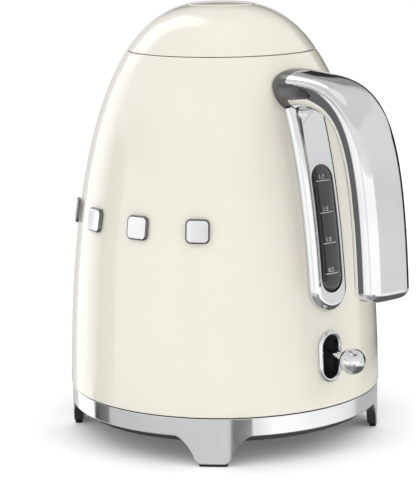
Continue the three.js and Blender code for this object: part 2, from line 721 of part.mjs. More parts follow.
function lidButton() {
  const cap = turned([
    [0, 248], [8, 247.75], [14, 247.3], [BUTTON_RADIUS - 0.6, 246.8], [BUTTON_RADIUS, BUTTON_EDGE],
    [BUTTON_RADIUS, 244.2], [17.6, 244.2], [17.6, 236], [16.2, 236], [16.2, 245], [3.2, 245],
    [3.2, 222], [0, 222],
  ], 32);
  return join(cap, block(-17.5, -14.5, -2.5, 2.5, 218.7, 245.5));
}

function buttonSpring() {
  return wire(new Helix(6.6, 214.6, 244, 6), 0.5, 60, 4);
}

function lidLatch() {
  const tongue = block(-50.7, -9.5, -5, 5, 213.9, 218.1);
  const wedgeWindow = block(-22, -12, -3.2, 3.2, 210, 222);
  const springWindow = block(-42, -28, -3.2, 3.2, 210, 222);
  return cut(tongue, wedgeWindow, springWindow);
}

function latchSpring() {
  const spring = wire(new Helix(1.6, 0, 6.2, 4), 0.3, 32, 4);
  spring.rotateY(Math.PI / 2);
  spring.translate(-41.3, 0, 216);
  return spring;
}

function lidScrew(y) {
  const screw = panScrew(210.2, 211.7, 221);
  screw.translate(0, y, 0);
  return screw;
}

// ---------------------------------------------------------------- assembly

const kettleOnBase = new THREE.Group();

function piece(name, geometry, material, place) {
  const mesh = new THREE.Mesh(geometry, material);
  mesh.name = name;
  if (place) mesh.position.set(...place);
  kettleOnBase.add(mesh);
  return mesh;
}

function addPowerBase() {
  piece('base_ring', baseRing(), CHROME);
  piece('base_deck', baseDeck(), GREY);
  piece('base_underplate', baseUnderplate(), BLACK);
  piece('base_connector', baseConnector(), BLACK);
  piece('cord_gland', cordGland(), BLACK);
  for (let foot = 0; foot < 4; foot += 1) {
    const pad = piece(`foot_pad_${foot + 1}`, footPad(), RUBBER);
    pad.rotation.z = THREE.MathUtils.degToRad(FOOT.first + foot * FOOT.step);
  }
  screwPlaces().forEach(([x, y], i) => {
    piece(`base_screw_${i + 1}`, panScrew(10.9, 12.7, 23), STEEL, [x, y, 0]);
  });
}

function addHeatingParts() {
  piece('kettle_connector', kettleConnector(), BLACK);
  piece('bottom_cover', bottomCover(), BLACK);
  screwPlaces().forEach(([x, y], i) => {
    piece(`bottom_screw_${i + 1}`, panScrew(28, 29.6, 40), STEEL, [x, y, 0]);
  });
  piece('heater_plate', heaterPlate(), STEEL);
  piece('heater_seal', heaterSeal(), SILICONE);
  piece('heating_element', heatingElement(), STEEL);
  piece('control_unit', controlUnit(), BLACK);
  piece('steam_tube', steamTube(), STEEL);
  piece('steam_switch', steamSwitch(), BLACK);
  piece('bimetal_disc', disc(6.5, 58.4, 58.9), BRASS, [STEAM.x, STEAM.y, 0]);
}

function addLever() {
  piece('lever_bezel', leverBezel(), CHROME);
  piece('lever_housing', leverHousing(), BLACK);
  piece('lever_pivot', crossPin(LEVER.pivotX, LEVER.pivotZ, 6.5, 1.3), STEEL);
  piece('lever_arm', leverArm(), CHROME);
  piece('lever_ball', leverBall(), CHROME);
  piece('trip_rocker', tripRocker(), GREY);
  piece('trip_pin', crossPin(TRIP.x, TRIP.z, 6.5, 1), STEEL);
}

function addOutside() {
  piece('body_shell', bodyShell(), CREAM);
  piece('spout', spout(), CREAM);
  piece('handle_shell', handleShell(), CHROME);
  piece('handle_cover', handleCover(), CHROME);
  piece('handle_bracket', handleBracket(), STEEL);
  piece('handle_screw_1', handleScrew(-6.5), STEEL);
  piece('handle_screw_2', handleScrew(6.5), STEEL);
  piece('gauge_bezel', gaugeBezel(), CHROME);
  piece('gauge_window', gaugeWindow(), SMOKED);
  piece('gauge_gasket', gaugeGasket(), SILICONE);
  for (let i = 0; i < BADGE.count; i += 1) piece(`badge_${i + 1}`, badge(i), CHROME);
}

function addNeckAndLid() {
  piece('neck_collar', neckCollar(), GREY);
  piece('hinge_pin', crossPin(HINGE.x, HINGE.z, 11.5, HINGE.pin), STEEL);
  piece('filter_frame', filterFrame(), GREY);
  piece('filter_mesh', filterMesh(), STEEL);
  piece('lid_shell', lidShell(), CREAM);
  piece('lid_liner', lidLiner(), GREY);
  piece('lid_seal', lidSeal(), SILICONE);
  piece('lid_button', lidButton(), CREAM);
  piece('button_spring', buttonSpring(), STEEL);
  piece('lid_latch', lidLatch(), GREY);
  piece('latch_spring', latchSpring(), STEEL);
  piece('lid_screw_1', lidScrew(-26), STEEL);
  piece('lid_screw_2', lidScrew(26), STEEL);
}

addPowerBase();
addHeatingParts();
addLever();
addOutside();
addNeckAndLid();

kettleOnBase.position.x = AXIS_X;

export default kettleOnBase;
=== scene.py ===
"""An electric kettle on its power base: the fine surfaces, materials, light and camera.

Lengths are millimetres about the kettle's own upright axis, with the handle towards +X and the spout
towards -X. place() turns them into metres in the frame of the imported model.
"""

import json
import math

import bmesh
import bpy
import numpy as np
from mathutils import Matrix, Vector


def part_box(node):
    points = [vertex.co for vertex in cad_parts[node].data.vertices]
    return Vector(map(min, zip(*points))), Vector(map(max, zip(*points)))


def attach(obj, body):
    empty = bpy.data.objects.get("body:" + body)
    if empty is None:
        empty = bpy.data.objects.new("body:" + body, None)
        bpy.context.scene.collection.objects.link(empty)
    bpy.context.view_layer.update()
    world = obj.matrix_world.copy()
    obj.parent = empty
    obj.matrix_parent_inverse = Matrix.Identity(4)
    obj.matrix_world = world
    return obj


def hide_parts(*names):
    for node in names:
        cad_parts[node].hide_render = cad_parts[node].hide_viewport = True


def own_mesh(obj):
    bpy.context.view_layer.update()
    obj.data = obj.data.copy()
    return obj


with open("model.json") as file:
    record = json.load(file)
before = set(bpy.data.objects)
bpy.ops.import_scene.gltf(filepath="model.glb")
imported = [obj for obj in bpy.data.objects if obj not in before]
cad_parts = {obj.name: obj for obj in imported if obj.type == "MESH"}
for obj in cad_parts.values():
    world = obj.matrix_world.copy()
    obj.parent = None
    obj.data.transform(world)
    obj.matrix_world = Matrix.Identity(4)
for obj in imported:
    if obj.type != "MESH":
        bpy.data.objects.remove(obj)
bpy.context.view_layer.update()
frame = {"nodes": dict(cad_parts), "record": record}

MM = 0.001
ring_low, ring_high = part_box("base_ring")
AXIS_X = (ring_low.x + ring_high.x) / 2

# The dome is a superellipse of revolution, as in the part.
DOME_RADIUS, DOME_ROOT, DOME_TOP, DOME_RISE, DOME_FALL = 90.5, -10.0, 248.0, 2.55, 2.7
WALL = 1.0
BODY_BOTTOM, BODY_RIM, LID_EDGE, LID_TOP = 28.0, 220.8, 221.1, 246.3


def place(x, y, z):
    """A point in millimetres about the kettle's axis, as metres in the frame."""
    return (AXIS_X + x * MM, y * MM, z * MM)


def dome_radius(z):
    """The dome's outer radius at a height."""
    height = (z - DOME_ROOT) / (DOME_TOP - DOME_ROOT)
    return DOME_RADIUS * (1 - height**DOME_RISE) ** (1 / DOME_FALL)


def dome_lean(z):
    """How far the dome leans back from upright at a height, in radians."""
    return math.atan(dome_radius(z - 0.5) - dome_radius(z + 0.5))


def on_dome(y, z, height):
    """The point above (y, z) of the dome's handle side, raised along the dome's own normal."""
    radius = dome_radius(z)
    turn = math.asin(y / radius)
    lean = dome_lean(z)
    flat = radius + height * math.cos(lean)
    return (flat * math.cos(turn), flat * math.sin(turn), z + height * math.sin(lean))


# ------------------------------------------------------------------------------------ camera

CAMERA_AZIMUTH = math.radians(49.5)
CAMERA_DISTANCE, CAMERA_HEIGHT = 1091.8, 322.2
CAMERA_PITCH, CAMERA_ROLL, CAMERA_YAW = 0.195551, -0.0128585, 0.0082931
FOCAL_LENGTH, SENSOR = 139.76, 36.0
TOWARDS_CAMERA = Vector((math.sin(CAMERA_AZIMUTH), -math.cos(CAMERA_AZIMUTH), 0))
CAMERA_SIDE = Vector((math.cos(CAMERA_AZIMUTH), math.sin(CAMERA_AZIMUTH), 0))


def make_camera():
    data = bpy.data.cameras.new("camera")
    data.lens, data.sensor_width = FOCAL_LENGTH, SENSOR
    data.clip_start, data.clip_end = 0.05, 30
    camera = bpy.data.objects.new("camera", data)
    bpy.context.scene.collection.objects.link(camera)
    ahead = -TOWARDS_CAMERA * math.cos(CAMERA_YAW) - CAMERA_SIDE * math.sin(CAMERA_YAW)
    side = CAMERA_SIDE * math.cos(CAMERA_YAW) - TOWARDS_CAMERA * math.sin(CAMERA_YAW)
    forward = ahead * math.cos(CAMERA_PITCH) - Vector((0, 0, 1)) * math.sin(CAMERA_PITCH)
    upward = ahead * math.sin(CAMERA_PITCH) + Vector((0, 0, 1)) * math.cos(CAMERA_PITCH)
    right = side * math.cos(CAMERA_ROLL) + upward * math.sin(CAMERA_ROLL)
    up = upward * math.cos(CAMERA_ROLL) - side * math.sin(CAMERA_ROLL)
    where = Vector(place(0, 0, CAMERA_HEIGHT)) + TOWARDS_CAMERA * CAMERA_DISTANCE * MM
    turn = Matrix((right, up, -forward)).transposed().to_4x4()
    camera.matrix_world = Matrix.Translation(where) @ turn
    bpy.context.scene.camera = camera


make_camera()


# ------------------------------------------------------------------------------------ mesh tools


MERGE_DISTANCE = 1e-7


def mesh_object(name, points, faces):
    """A closed mesh from points in millimetres, with shared corners merged and faces outward."""
    mesh = bpy.data.meshes.new(name)
    mesh.from_pydata([place(*p) for p in points], [], faces)
    work = bmesh.new()
    work.from_mesh(mesh)
    bmesh.ops.remove_doubles(work, verts=work.verts, dist=MERGE_DISTANCE)
    bmesh.ops.dissolve_degenerate(work, edges=work.edges, dist=MERGE_DISTANCE)
    bmesh.ops.recalc_face_normals(work, faces=work.faces)
    work.to_mesh(mesh)
    work.free()
    obj = bpy.data.objects.new(name, mesh)
    bpy.context.scene.collection.objects.link(obj)
    return obj


def skin(name, rings, closed_ring=True, closed_rows=False, caps=True):
    """A surface over rows of points. Caps fill the first and the last row."""
    count, rows = len(rings[0]), len(rings)
    points = [p for ring in rings for p in ring]
    faces = []
    for r in range(rows if closed_rows else rows - 1):
        below, above = r * count, ((r + 1) % rows) * count
        for i in range(count if closed_ring else count - 1):
            j = (i + 1) % count
            faces.append((below + i, below + j, above + j, above + i))
    if caps and not closed_rows:
        faces.append(tuple(range(count)))
        faces.append(tuple((rows - 1) * count + i for i in range(count)))
    return mesh_object(name, points, faces)


def rounded(corners, steps=5):
    """Corners of (x, y, radius) of a closed outline, each turned into an arc of that radius."""
    outline = []
    count = len(corners)
    for i, (x, y, radius) in enumerate(corners):
        here = np.array((x, y), float)
        back = np.array(corners[i - 1][:2], float) - here
        ahead = np.array(corners[(i + 1) % count][:2], float) - here
        if radius <= 0:
            outline.append((x, y))
            continue
        back_length, ahead_length = np.linalg.norm(back), np.linalg.norm(ahead)
        back, ahead = back / back_length, ahead / ahead_length
        half = math.acos(np.clip(back @ ahead, -1, 1)) / 2
        reach = min(radius / math.tan(half), back_length * 0.49, ahead_length * 0.49)
        arc = reach * math.tan(half)
        middle = here + (back + ahead) / np.linalg.norm(back + ahead) * (arc / math.sin(half))
        start, end = here + back * reach - middle, here + ahead * reach - middle
        sweep = math.pi - 2 * half
        turn = math.copysign(1, start[0] * end[1] - start[1] * end[0])
        for k in range(steps + 1):
            angle = turn * sweep * k / steps
            c, s = math.cos(angle), math.sin(angle)
            outline.append(tuple(middle + (c * start[0] - s * start[1], s * start[0] + c * start[1])))
    return outline


def revolved(name, profile, segments=160, closed=False):
    """A profile of (radius, z) turned about the kettle's axis."""
    rings = []
    for k in range(segments):
        c, s = math.cos(2 * math.pi * k / segments), math.sin(2 * math.pi * k / segments)
        rings.append([(r * c, r * s, z) for r, z in profile])
    return skin(name, rings, closed_ring=closed, closed_rows=True, caps=False)


def smooth(obj, degrees=35):
    """Shades an object smoothly, apart from edges sharper than the angle."""
    obj.data.shade_smooth()
    obj.data.set_sharp_from_angle(angle=math.radians(degrees))


def applied_mesh(obj):
    """A new mesh of the object as it is with its modifiers applied."""
    bpy.context.view_layer.update()
    shape = obj.evaluated_get(bpy.context.evaluated_depsgraph_get())
    return bpy.data.meshes.new_from_object(shape)


def combine(obj, other, operation):
    """Joins another solid to obj or cuts it away, then drops the other."""
    modifier = obj.modifiers.new("combine", "BOOLEAN")
    modifier.operation, modifier.solver, modifier.object = operation, "EXACT", other
    mesh = applied_mesh(obj)
    obj.modifiers.clear()
    old, obj.data = obj.data, mesh
    bpy.data.meshes.remove(old)
    bpy.data.objects.remove(other)


def slot_outline(half_width, low, high, steps=16):
    """(y, z) points of an upright long hole, counter-clockwise from its left side."""
    points = []
    for start, centre in ((math.pi, low + half_width), (0.0, high - half_width)):
        for k in range(steps + 1):
            angle = start + math.pi * k / steps
            points.append((half_width * math.cos(angle), centre + half_width * math.sin(angle)))
    return points


def slot_prism(half_width, low, high, x0, x1):
    """A cutter with the section of an upright long hole, from x0 to x1."""
    outline = slot_outline(half_width, low, high)
    return skin("cutter", [[(x, y, z) for y, z in outline] for x in (x0, x1)])


# ------------------------------------------------------------------------------------ materials


class Shader:
    """A Principled material whose details come from procedural nodes."""

    def __init__(self, name, **values):
        self.material = bpy.data.materials.new(name)
        self.material.use_nodes = True
        self.nodes = self.material.node_tree.nodes
        self.links = self.material.node_tree.links
        self.base = self.nodes["Principled BSDF"]
        for socket, value in values.items():
            self.base.inputs[socket.replace("_", " ")].default_value = value
        self.place = self.nodes.new("ShaderNodeTexCoord").outputs["Object"]

    def noise(self, scale, detail=3.0, stretch=None):
        texture = self.nodes.new("ShaderNodeTexNoise")
        texture.inputs["Scale"].default_value = scale
        texture.inputs["Detail"].default_value = detail
        source = self.place
        if stretch:
            mapping = self.nodes.new("ShaderNodeMapping")
            mapping.inputs["Scale"].default_value = stretch
            self.links.new(source, mapping.inputs["Vector"])
            source = mapping.outputs["Vector"]
        self.links.new(source, texture.inputs["Vector"])
        return texture.outputs["Fac"]

    def spread(self, factor, low, high, socket):
        """Feeds a socket with a value that varies from low to high."""
        span = self.nodes.new("ShaderNodeMapRange")
        span.inputs["From Min"].default_value, span.inputs["From Max"].default_value = 0.3, 0.7
        span.inputs["To Min"].default_value, span.inputs["To Max"].default_value = low, high
        self.links.new(factor, span.inputs["Value"])
        self.links.new(span.outputs["Result"], self.base.inputs[socket])

    def tint(self, factor, dark, light):
        """Feeds the base colour with a mix of two colours."""
        ramp = self.nodes.new("ShaderNodeValToRGB")
        ramp.color_ramp.elements[0].position, ramp.color_ramp.elements[1].position = 0.3, 0.7
        ramp.color_ramp.elements[0].color, ramp.color_ramp.elements[1].color = (*dark, 1), (*light, 1)
        self.links.new(factor, ramp.inputs["Fac"])
        self.links.new(ramp.outputs["Color"], self.base.inputs["Base Color"])

    def bump(self, factor, strength, distance):
        bump = self.nodes.new("ShaderNodeBump")
        bump.inputs["Strength"].default_value = strength
        bump.inputs["Distance"].default_value = distance
        self.links.new(factor, bump.inputs["Height"])
        self.links.new(bump.outputs["Normal"], self.base.inputs["Normal"])


def cream_paint():
    """Gloss paint under a clear coat, with a slight unevenness of colour and surface."""
    shader = Shader("cream_paint", Roughness=0.2, Coat_Weight=1.0, Coat_Roughness=0.02, Coat_IOR=1.5)
    shader.tint(shader.noise(9.0, 2.0), (0.745, 0.718, 0.628), (0.77, 0.743, 0.653))
    shader.spread(shader.noise(60.0), 0.16, 0.24, "Roughness")
    shader.bump(shader.noise(420.0, 2.0), 0.05, 0.0001)
    return shader.material


def chrome(name, low, high, brightness=0.88):
    """Plated metal. Its roughness varies from low to high, and brightness scales its pale grey."""
    shader = Shader(name, Metallic=1.0)
    dark = [brightness * share for share in (0.91, 0.915, 0.93)]
    light = [brightness * share for share in (1.0, 1.003, 1.011)]
    shader.tint(shader.noise(30.0), dark, light)
    shader.spread(shader.noise(180.0, 6.0), low, high, "Roughness")
    shader.bump(shader.noise(900.0, 4.0), 0.012, 0.00005)
    return shader.material


def brushed_steel():
    """Bare steel with a fine grain that runs round it."""
    shader = Shader("brushed_steel", Metallic=1.0)
    grain = shader.noise(1.0, 5.0, (40, 40, 900))
    shader.tint(grain, (0.48, 0.485, 0.49), (0.66, 0.665, 0.67))
    shader.spread(grain, 0.24, 0.42, "Roughness")
    shader.bump(grain, 0.12, 0.00005)
    return shader.material


def moulded(name, dark, light, rough_low, rough_high, grain=1400.0, depth=0.15):
    """Moulded plastic or rubber with a fine grain."""
    shader = Shader(name)
    shader.tint(shader.noise(25.0), dark, light)
    shader.spread(shader.noise(90.0), rough_low, rough_high, "Roughness")
    shader.bump(shader.noise(grain, 3.0), depth, 0.0001)
    return shader.material


def smoked_window():
    """Dark, polished gauge plastic with faint upright streaks."""
    shader = Shader("smoked_window", Coat_Weight=1.0, Coat_Roughness=0.03)
    shader.tint(shader.noise(14.0, 2.0, (6, 30, 1)), (0.009, 0.009, 0.010), (0.026, 0.026, 0.028))
    shader.spread(shader.noise(80.0), 0.08, 0.16, "Roughness")
    return shader.material


PAINT = cream_paint()
CHROME = chrome("chrome", 0.03, 0.06)
SATIN_CHROME = chrome("satin_chrome", 0.07, 0.12)
# A dark satin metal whose dark grey is a painted dark reflection, on the handle's root and the edges of the
# studs.
PAINTED_REFLECTION_CHROME = chrome("painted_reflection_chrome", 0.16, 0.24, 0.17)
STEEL = brushed_steel()
BLACK = moulded("black_plastic", (0.014, 0.014, 0.015), (0.026, 0.026, 0.027), 0.3, 0.45)
GREY = moulded("grey_plastic", (0.075, 0.077, 0.080), (0.10, 0.102, 0.106), 0.38, 0.5)
RUBBER = moulded("rubber", (0.015, 0.015, 0.015), (0.028, 0.028, 0.028), 0.75, 0.9, depth=0.3)
SILICONE = moulded("silicone", (0.50, 0.495, 0.46), (0.58, 0.575, 0.54), 0.5, 0.62)
WINDOW = smoked_window()
BRASS = chrome("brass", 0.2, 0.3)
PRINT = moulded("white_print", (0.62, 0.62, 0.62), (0.74, 0.74, 0.74), 0.4, 0.5)
SLOT_MATERIALS = {
    "cream_paint": PAINT, "chrome": CHROME, "steel": STEEL, "black_plastic": BLACK, "grey_plastic": GREY,
    "rubber": RUBBER, "silicone": SILICONE, "smoked_gauge": WINDOW, "brass": BRASS,
}


def finish_piece(obj, body, slot, material, *replaced, angle=35, flat=True):
    """Gives a piece its material and edge smoothing and its body, and hides the CAD nodes it stands for."""
    obj.data.materials.clear()
    obj.data.materials.append(material)
    smooth(obj, angle)
    if flat:
        obj.modifiers.new("flat_faces_stay_flat", "WEIGHTED_NORMAL").keep_sharp = True
    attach(obj, body)
    if replaced:
        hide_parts(*replaced)


def second_material(obj, material, chosen):
    """Gives a second material to the faces for which chosen(face) is true."""
    obj.data.materials.append(material)
    for face in obj.data.polygons:
        if chosen(face):
            face.material_index = 1


# ------------------------------------------------------------------------------------ body and spout

SPOUT_LOW, SPOUT_LIP, SPOUT_LIP_RISE, SPOUT_TIP, SPOUT_HALF_WIDTH = 158.0, 206.0, 5.0, 80.5, 19.0


# The openings in the body: half width, low end, high end, and the stretch along x that is cut.
POURING_SLOT = (10, 180, 203, -76, -40)
GAUGE_SLOT = (5.5, 97, 159, 60, 110)
LEVER_SLOT = (7.45, 42.9, 70.1, 60, 110)
SPOUT_RUN_IN = 5
INSIDE_DEPTH = 0.55


def eased(value, softness):
    """A value where it is above zero, eased into zero below. The softness is the easing's width squared."""
    return 0.5 * (value + math.sqrt(value * value + softness))


def spout_reach(z):
    """How far the spout's ridge stands out from the dome at a height."""
    rise = min(1.0, max(0.0, (z - SPOUT_LOW) / (SPOUT_LIP - SPOUT_LOW)))
    start = dome_radius(SPOUT_LOW)
    tip = start + (SPOUT_TIP - start) * rise**0.7
    return eased(tip - dome_radius(z), 0.25)


def spout_spread(z):
    """Half the angle that the spout takes up on the dome at a height."""
    rise = min(1.0, max(0.02, (z - SPOUT_LOW) / (SPOUT_LIP - SPOUT_LOW)))
    return (SPOUT_HALF_WIDTH * rise**0.6 + 1) / dome_radius(z)


def spout_solid():
    """The welded beak: a rounded V that runs out softly on the dome, 1.1 mm thick, open at its top."""
    columns, rows, blend_width, thickness = 72, 56, 1.5, 1.1
    outer, inner = [], []
    for i in range(rows + 1):
        outer_row, inner_row = [], []
        for k in range(columns + 1):
            side = blend_width * (2 * k / columns - 1)
            lip = SPOUT_LIP + SPOUT_LIP_RISE * min(1.0, abs(side)) ** 1.2
            z = SPOUT_LOW - SPOUT_RUN_IN + (lip - SPOUT_LOW + SPOUT_RUN_IN) * i / rows
            reach = spout_reach(z)
            raw = reach * (1 - abs(side) ** 1.3)
            soft = min(1.6, 0.2 * reach + 0.02)
            bulge = eased(raw, soft * soft) + 0.015
            angle = math.pi + side * spout_spread(z)
            radius = dome_radius(z) + bulge
            outer_row.append((radius * math.cos(angle), radius * math.sin(angle), z))
            thin = max(dome_radius(z) - 0.8, radius - thickness)
            inner_row.append((thin * math.cos(angle), thin * math.sin(angle), z))
        outer.append(outer_row)
        inner.append(inner_row)
    rings = [outer_row + inner_row[::-1] for outer_row, inner_row in zip(outer, inner)]
    return skin("spout", rings)


def body():
    """The painted steel shell with its spout, its gauge and lever slots, and a bare steel inside."""
    outside = [(dome_radius(z), z) for z in np.linspace(BODY_BOTTOM + 3, BODY_RIM - 4, 60)]
    rim = dome_radius(BODY_RIM)
    foot = dome_radius(BODY_BOTTOM)
    corners = [(foot - WALL, BODY_BOTTOM, 0.3), (foot, BODY_BOTTOM, 0.7)]
    corners += [(r, z, 0) for r, z in outside]
    corners += [(rim, BODY_RIM, 3.0), (rim - WALL - 0.6, BODY_RIM, 0.2)]
    corners += [(r - WALL, z, 0) for r, z in outside[::-1]]
    shell = revolved("kettle_body", rounded(corners), 224, closed=True)
    combine(shell, slot_prism(*POURING_SLOT), "DIFFERENCE")
    combine(shell, spout_solid(), "UNION")
    combine(shell, slot_prism(*GAUGE_SLOT), "DIFFERENCE")
    combine(shell, slot_prism(*LEVER_SLOT), "DIFFERENCE")
    finish_piece(shell, "kettle", "cream_paint", PAINT, "body_shell", "spout", angle=40)

    def inside(face):
        x, y, z = face.center
        return math.hypot(x - AXIS_X, y) / MM < dome_radius(z / MM) - INSIDE_DEPTH

    second_material(shell, STEEL, inside)


def lid():
    """The lid's painted dome, open at its top for the push button."""
    top_opening = 19.7
    edge = dome_radius(LID_EDGE)
    outside = [(dome_radius(z), z) for z in np.linspace(LID_EDGE + 2, LID_TOP - 0.6, 26)]
    outside = [(r, z) for r, z in outside if r > top_opening + 0.6]
    corners = [(edge - WALL, LID_EDGE, 0.2), (edge, LID_EDGE, 0.5)]
    corners += [(r, z, 0) for r, z in outside]
    corners += [(top_opening, LID_TOP - 0.1, 0.5), (top_opening, LID_TOP - 2.6, 0.2)]
    corners += [(r - WALL, z - 0.7, 0) for r, z in outside[::-1]
                if r - WALL > top_opening + 0.8 and z > LID_EDGE + 3]
    shell = revolved("lid_dome", rounded(corners), 200, closed=True)
    finish_piece(shell, "lid", "cream_paint", PAINT, "lid_shell", angle=40)


def push_button():
    """The flush cap of the lid, with its skirt, its stem and the prong that works the latch."""
    radius, edge, rise = 19.4, 246.7, 1.3
    rim_low, skirt_outer, skirt_inner, skirt_low = 244.2, 17.6, 16.2, 236
    underside, stem_radius, stem_low = 245, 3.2, 222
    shares = (0.12, 0.25, 0.4, 0.55, 0.7, 0.82, 0.92)
    crown = [(radius * share, edge + rise * (1 - share**2.2), 0) for share in shares]
    corners = [(0, edge + rise, 0), *crown, (radius, edge - 0.1, 0.6), (radius, rim_low, 0.4),
               (skirt_outer, rim_low, 0.2), (skirt_outer, skirt_low, 0.5), (skirt_inner, skirt_low, 0.5),
               (skirt_inner, underside, 0.4), (stem_radius, underside, 0.4), (stem_radius, stem_low, 0.6),
               (0, stem_low, 0)]
    cap = revolved("lid_push_button", rounded(corners, 4), 160)
    prong_section = ((-17.5, -2.5), (-14.5, -2.5), (-14.5, 2.5), (-17.5, 2.5))
    prong = skin("prong", [[(x, y, z) for x, y in prong_section] for z in (218.7, 245.4)])
    combine(cap, prong, "UNION")
    finish_piece(cap, "button", "cream_paint", PAINT, "lid_button")


def cap_spring():
    """The coil spring under the cap, which the cap squeezes as it goes down. Here it is built in one fixed
    shape.
    """
    low, high, radius, wire, turns = 214.7, 243.9, 5.85, 0.45, 7
    steps, wire_sides = 24, 10
    flat = 0.9 / turns
    rings = []
    for t in np.linspace(0, 1, turns * steps + 1):
        angle = 2 * math.pi * turns * t
        climb = min(max((t - flat) / (1 - 2 * flat), 0.0), 1.0)
        lead_in = 0.5 * wire * (min(t / flat, 1.0) + min((1 - t) / flat, 1.0) - 2)
        middle = low + (high - low) * climb + (lead_in if climb < 0.5 else -lead_in)
        ring = []
        for k in range(wire_sides):
            turn = 2 * math.pi * k / wire_sides
            reach = radius + wire * math.cos(turn)
            ring.append((reach * math.cos(angle), reach * math.sin(angle), middle + wire * math.sin(turn)))
        rings.append(ring)
    spring = skin("cap_spring", rings)
    finish_piece(spring, "lid", "steel", STEEL, "button_spring", angle=50)
    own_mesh(spring)


# ------------------------------------------------------------------------------------ power base

RING_OUTER, RING_INNER, RING_BOTTOM, RING_TOP = 89.7, 84.2, 16.9, 27.4
FOOT_BOTTOM, FOOT_HALF_WIDTH = 1.3, 9.2


def foot_edge():
    """(distance along the ring, z) of the ring's lower edge, from a foot's middle outwards."""
    corner, corner_steps, corner_share = 2.6, 5, 0.8
    flare_lean, flare_round = 5, 8
    points = [(0.0, FOOT_BOTTOM), (4.0, FOOT_BOTTOM)]
    for k in range(corner_steps + 1):
        angle = math.pi / 2 * k / corner_steps * corner_share
        points.append((FOOT_HALF_WIDTH - corner + corner * math.sin(angle),
                       FOOT_BOTTOM + corner * (1 - math.cos(angle))))
    for fraction in np.sin(np.linspace(math.asin(0.1), math.pi / 2, 26)):
        across = FOOT_HALF_WIDTH + flare_lean * fraction + flare_round * (1 - math.sqrt(1 - fraction**2))
        points.append((across, FOOT_BOTTOM + (RING_BOTTOM - FOOT_BOTTOM) * fraction))
    end = RING_OUTER * math.pi / 4
    return points + [(across, RING_BOTTOM) for across in np.linspace(points[-1][0] + 3, end - 3, 12)]


def base_ring():
    """The chrome ring and its four feet, with a black inside that is painted shade."""
    side = foot_edge()
    half = [(-across, z) for across, z in side[:0:-1]] + side
    rings = []
    for foot in range(4):
        for across, z in half:
            angle = math.radians(45 + 90 * foot) + across / RING_OUTER
            section = rounded([(RING_OUTER, RING_TOP, 0.35), (RING_OUTER, z, 0.7), (RING_INNER, z, 0.5),
                               (RING_INNER, RING_TOP, 0.35)], 4)
            rings.append([(r * math.cos(angle), r * math.sin(angle), height) for r, height in section])
    ring = skin("chrome_base_ring", rings, closed_rows=True, caps=False)
    finish_piece(ring, "power_base", "chrome", SATIN_CHROME, "base_ring", angle=50)

    # A known fault: AXIS_X is in metres already, so this centre lies 24 mm off the ring's axis. That
    # blackens the flank of each foot that faces the handle's side, and leaves a few inner edges chrome.
    centre_x, least = AXIS_X * MM, 0.05 * RING_INNER * MM

    def painted_shade_faces(face):
        return face.normal.x * (face.center.x - centre_x) + face.normal.y * face.center.y < -least

    # Black on the inward faces is painted shade for the dark inside of the ring.
    second_material(ring, BLACK, painted_shade_faces)


# ------------------------------------------------------------------------------------ handle

HANDLE_POINTS = [np.array(p) for p in ((58, 202.6), (109.7, 205.3), (124.8, 202.6), (129.8, 94))]
HANDLE_HALF_WIDTH, HANDLE_HALF_DEPTH, HANDLE_ROUNDNESS = 15.5, 9.4, 3.2
HANDLE_END_ROUND, HANDLE_END_LIFT = 5.4, 1.2
ROOT_HALF_WIDTH, ROOT_HALF_HEIGHT, ROOT_ROUNDNESS, ROOT_Z = 16.5, 11.2, 2.3, 201.6
CHANNEL_HALF_WIDTH, CHANNEL_BED, CHANNEL_START, CHANNEL_END = 13.9, -3.6, 29.0, 6.7
COVER_GAP, COVER_BACK, COVER_SINK = 0.3, -4.2, 0.12
GRIP_START = 27.0
SHADED_RINGS, SHADED_SIDE_RINGS = 21, 24
SHADED_SIDE_START, SHADED_SIDE_SPAN = 0.94, 0.06


def handle_stations(count=400):
    """The handle's middle line: distance along it, point and tangent, each as an array."""
    t = np.linspace(0, 1, count)[:, None]
    a, b, c, d = HANDLE_POINTS
    point = (1 - t) ** 3 * a + 3 * (1 - t) ** 2 * t * b + 3 * (1 - t) * t**2 * c + t**3 * d
    tangent = 3 * (1 - t) ** 2 * (b - a) + 6 * (1 - t) * t * (c - b) + 3 * t**2 * (d - c)
    tangent /= np.linalg.norm(tangent, axis=1)[:, None]
    along = np.concatenate([[0], np.cumsum(np.linalg.norm(np.diff(point, axis=0), axis=1))])
    return along, point, tangent


ALONG, LINE, TANGENT = handle_stations()
HANDLE_LENGTH = ALONG[-1]


def across_handle(distance, outline):
    """An outline of (across, outward) points set square to the handle's middle line."""
    x, z = handle_axis(distance, LINE)
    tx, tz = handle_axis(distance, TANGENT)
    return [(x - tz * out, across, z + tx * out) for across, out in outline]


def handle_axis(distance, values):
    """The (x, z) of one of the middle line's arrays at a distance along it."""
    return [np.interp(distance, ALONG, values[:, i]) for i in (0, 1)]


def superellipse(half_width, half_depth, roundness, count=112):
    """Points round a superellipse, from its right side."""
    points = []
    for k in range(count):
        angle = 2 * math.pi * (k + 0.5) / count
        c, s = math.cos(angle), math.sin(angle)
        across = half_width * math.copysign(abs(c) ** (2 / roundness), c)
        points.append((across, half_depth * math.copysign(abs(s) ** (2 / roundness), s)))
    return points


def handle_section(inset=0.0):
    """The handle's own section, smaller by an inset."""
    return superellipse(HANDLE_HALF_WIDTH - inset, HANDLE_HALF_DEPTH - inset, HANDLE_ROUNDNESS)


def channelled_section():
    """The section with a channel on its finger side, for the cover to sit in."""
    outline = []
    for across, out in handle_section():
        if out < 0 and abs(across) < CHANNEL_HALF_WIDTH:
            across, out = across * 0.985, max(out, CHANNEL_BED)
        outline.append((across, out))
    return outline


